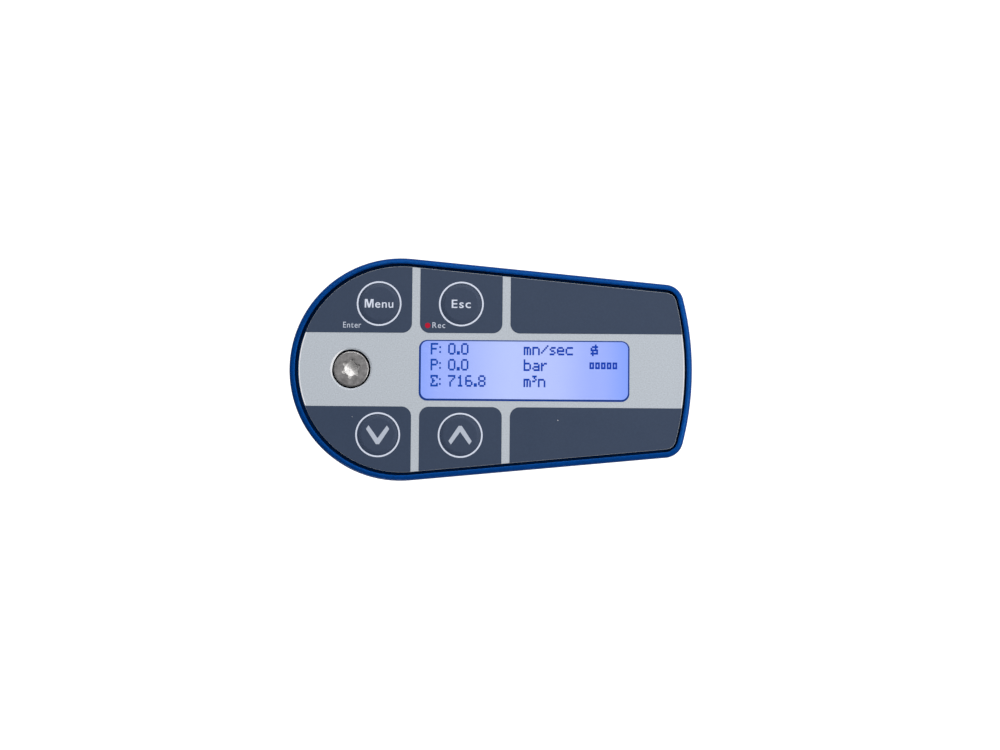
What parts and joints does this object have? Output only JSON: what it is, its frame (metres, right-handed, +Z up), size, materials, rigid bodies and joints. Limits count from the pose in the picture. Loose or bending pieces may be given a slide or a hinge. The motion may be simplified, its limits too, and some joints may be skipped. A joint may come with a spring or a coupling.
{
  "type": "compressed air flow meter",
  "caption": "Insertion flow meter for compressed air: a teardrop display head with membrane keys and a lit screen, on a slim probe held by a compression fitting.",
  "frame": {"origin": "on the probe axis, at the face of the compression fitting that seals on the pipe", "axes": "+Z up along the probe to the display, +X along the head towards its tail, +Y across the head"},
  "size_m": [0.1, 0.0554, 0.2346],
  "materials": {
    "blue_paint": "satin",
    "overlay_film": "satin",
    "key_film": "satin",
    "spacer_film": "matte",
    "circuit_film": "matte",
    "dome_steel": "satin",
    "clear_window": "gloss",
    "lcd_face": "gloss",
    "light_guide": "gloss",
    "black_plastic": "matte",
    "circuit_board": "satin",
    "chip_body": "matte",
    "screw_steel": "satin",
    "gasket_rubber": "matte",
    "anodised_base": "satin",
    "stainless": "satin",
    "nickel_plate": "satin",
    "contact_metal": "polished",
    "ferrule_metal": "satin",
    "cable_jacket": "matte",
    "ceramic_header": "matte"
  },
  "bodies": {
    "fitting": {"fitting_body": "stainless", "thread_seal": "gasket_rubber"},
    "grip": {"ferrule": "ferrule_metal"},
    "thrust": {"thrust_ring": "stainless"},
    "gland": {"gland_nut": "stainless"},
    "menu_key": {"key_menu": "key_film"},
    "escape_key": {"key_escape": "key_film"},
    "down_key": {"key_down": "key_film"},
    "up_key": {"key_up": "key_film"},
    "meter": {"display_housing": "blue_paint", "transmitter_housing": "blue_paint", "keypad_overlay": "overlay_film", "keypad_spacer": "spacer_film", "keypad_circuit": "circuit_film", "display_window": "clear_window", "lcd_panel": "lcd_face", "backlight": "light_guide", "lcd_holder": "black_plastic", "main_board": "circuit_board", "sensor_board": "circuit_board", "board_chips": "chip_body", "sensor_chips": "chip_body", "board_screws": "screw_steel", "sensor_board_screws": "screw_steel", "module_screws": "screw_steel", "deck_screws": "screw_steel", "base_screws": "screw_steel", "fixing_screw": "screw_steel", "screw_seal": "gasket_rubber", "fixing_pillar": "stainless", "display_base": "black_plastic", "transmitter_deck": "black_plastic", "link_plug": "black_plastic", "link_socket": "black_plastic", "module_gasket": "gasket_rubber", "base_gasket": "gasket_rubber", "base_plate": "anodised_base", "m12_shell": "nickel_plate", "m12_nut": "nickel_plate", "m12_insert": "black_plastic", "m12_pins": "contact_metal", "m12_seal": "gasket_rubber", "pressure_sensor": "stainless", "probe_tube": "stainless", "sensor_tip": "stainless", "sensor_base": "ceramic_header", "heated_pin": "stainless", "reference_pin": "stainless", "sensor_cable": "cable_jacket", "dome_menu": "dome_steel", "dome_escape": "dome_steel", "dome_down": "dome_steel", "dome_up": "dome_steel"}
  },
  "joints": [
    {"name": "probe_swivel", "type": "hinge", "parent": "fitting", "child": "grip", "pos_m": [0, 0, 0], "axis": [0, 0, 1], "continuous": true},
    {"name": "probe_insertion", "type": "slide", "parent": "grip", "child": "meter", "axis": [0, 0, 1], "range_m": [-0.037, 0.06]},
    {"name": "thrust_follow", "type": "slide", "parent": "fitting", "child": "thrust", "axis": [0, 0, 1], "range_m": [0, 0.0015]},
    {"name": "gland_turn", "type": "hinge", "parent": "thrust", "child": "gland", "pos_m": [0, 0, 0], "axis": [0, 0, 1], "range_deg": [0, 360]},
    {"name": "menu_press", "type": "slide", "parent": "meter", "child": "menu_key", "axis": [0, 0, -1], "range_m": [0, 0.00035], "stiffness_N_per_m": 6000, "deforming": ["dome_menu"]},
    {"name": "escape_press", "type": "slide", "parent": "meter", "child": "escape_key", "axis": [0, 0, -1], "range_m": [0, 0.00035], "stiffness_N_per_m": 6000, "deforming": ["dome_escape"]},
    {"name": "down_press", "type": "slide", "parent": "meter", "child": "down_key", "axis": [0, 0, -1], "range_m": [0, 0.00035], "stiffness_N_per_m": 6000, "deforming": ["dome_down"]},
    {"name": "up_press", "type": "slide", "parent": "meter", "child": "up_key", "axis": [0, 0, -1], "range_m": [0, 0.00035], "stiffness_N_per_m": 6000, "deforming": ["dome_up"]}
  ],
  "couplings": [
    {"joint": "thrust_follow", "follows": "gland_turn", "m_per_rad": 0.00023873}
  ]
}
